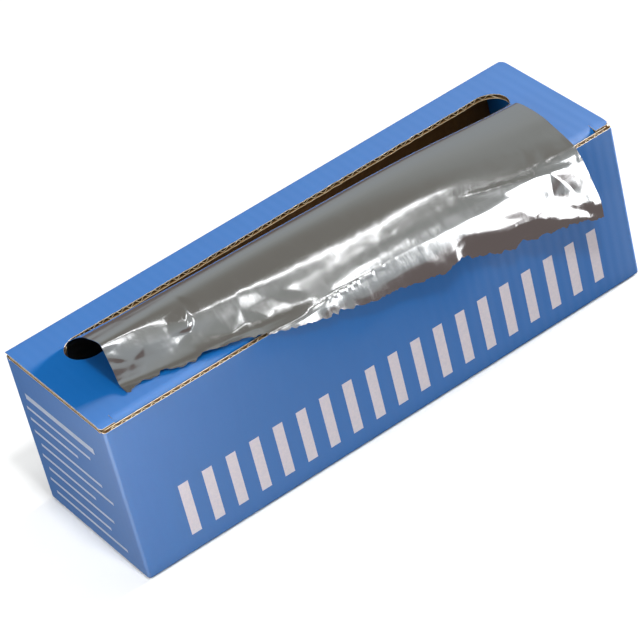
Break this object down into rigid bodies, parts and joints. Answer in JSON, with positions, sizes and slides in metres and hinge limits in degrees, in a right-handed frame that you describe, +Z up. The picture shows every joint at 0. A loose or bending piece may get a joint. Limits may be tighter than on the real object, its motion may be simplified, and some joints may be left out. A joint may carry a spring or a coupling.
{
  "type": "aluminium foil roll in dispenser carton",
  "caption": "Wound aluminium kitchen foil on a card tube in a corrugated dispenser carton, drawn out through a slot in the hinged lid.",
  "frame": {"origin": "centre of the carton's bottom face", "axes": "+X along the carton to the right, seen from the front; -Y out of the front panel, over which the foil hangs; +Z up out of the lid"},
  "size_m": [0.34, 0.1142, 0.1282],
  "materials": {
    "printed_board": "satin blue print outside, plain brown inside",
    "foil": "bright rolled foil",
    "core_card": "plain spiral-wound card"
  },
  "bodies": {
    "carton": {"carton_tray": "printed_board", "foil_roll": "foil", "core_tube": "core_card"},
    "lid": {"carton_lid": "printed_board", "foil_sheet": "foil"}
  },
  "joints": [
    {"name": "lid_hinge", "type": "hinge", "parent": "carton", "child": "lid", "pos_m": [0, 0.0505, 0.10085], "axis": [-1, 0, 0], "range_deg": [0, 110], "deforming": ["foil_sheet"]}
  ]
}
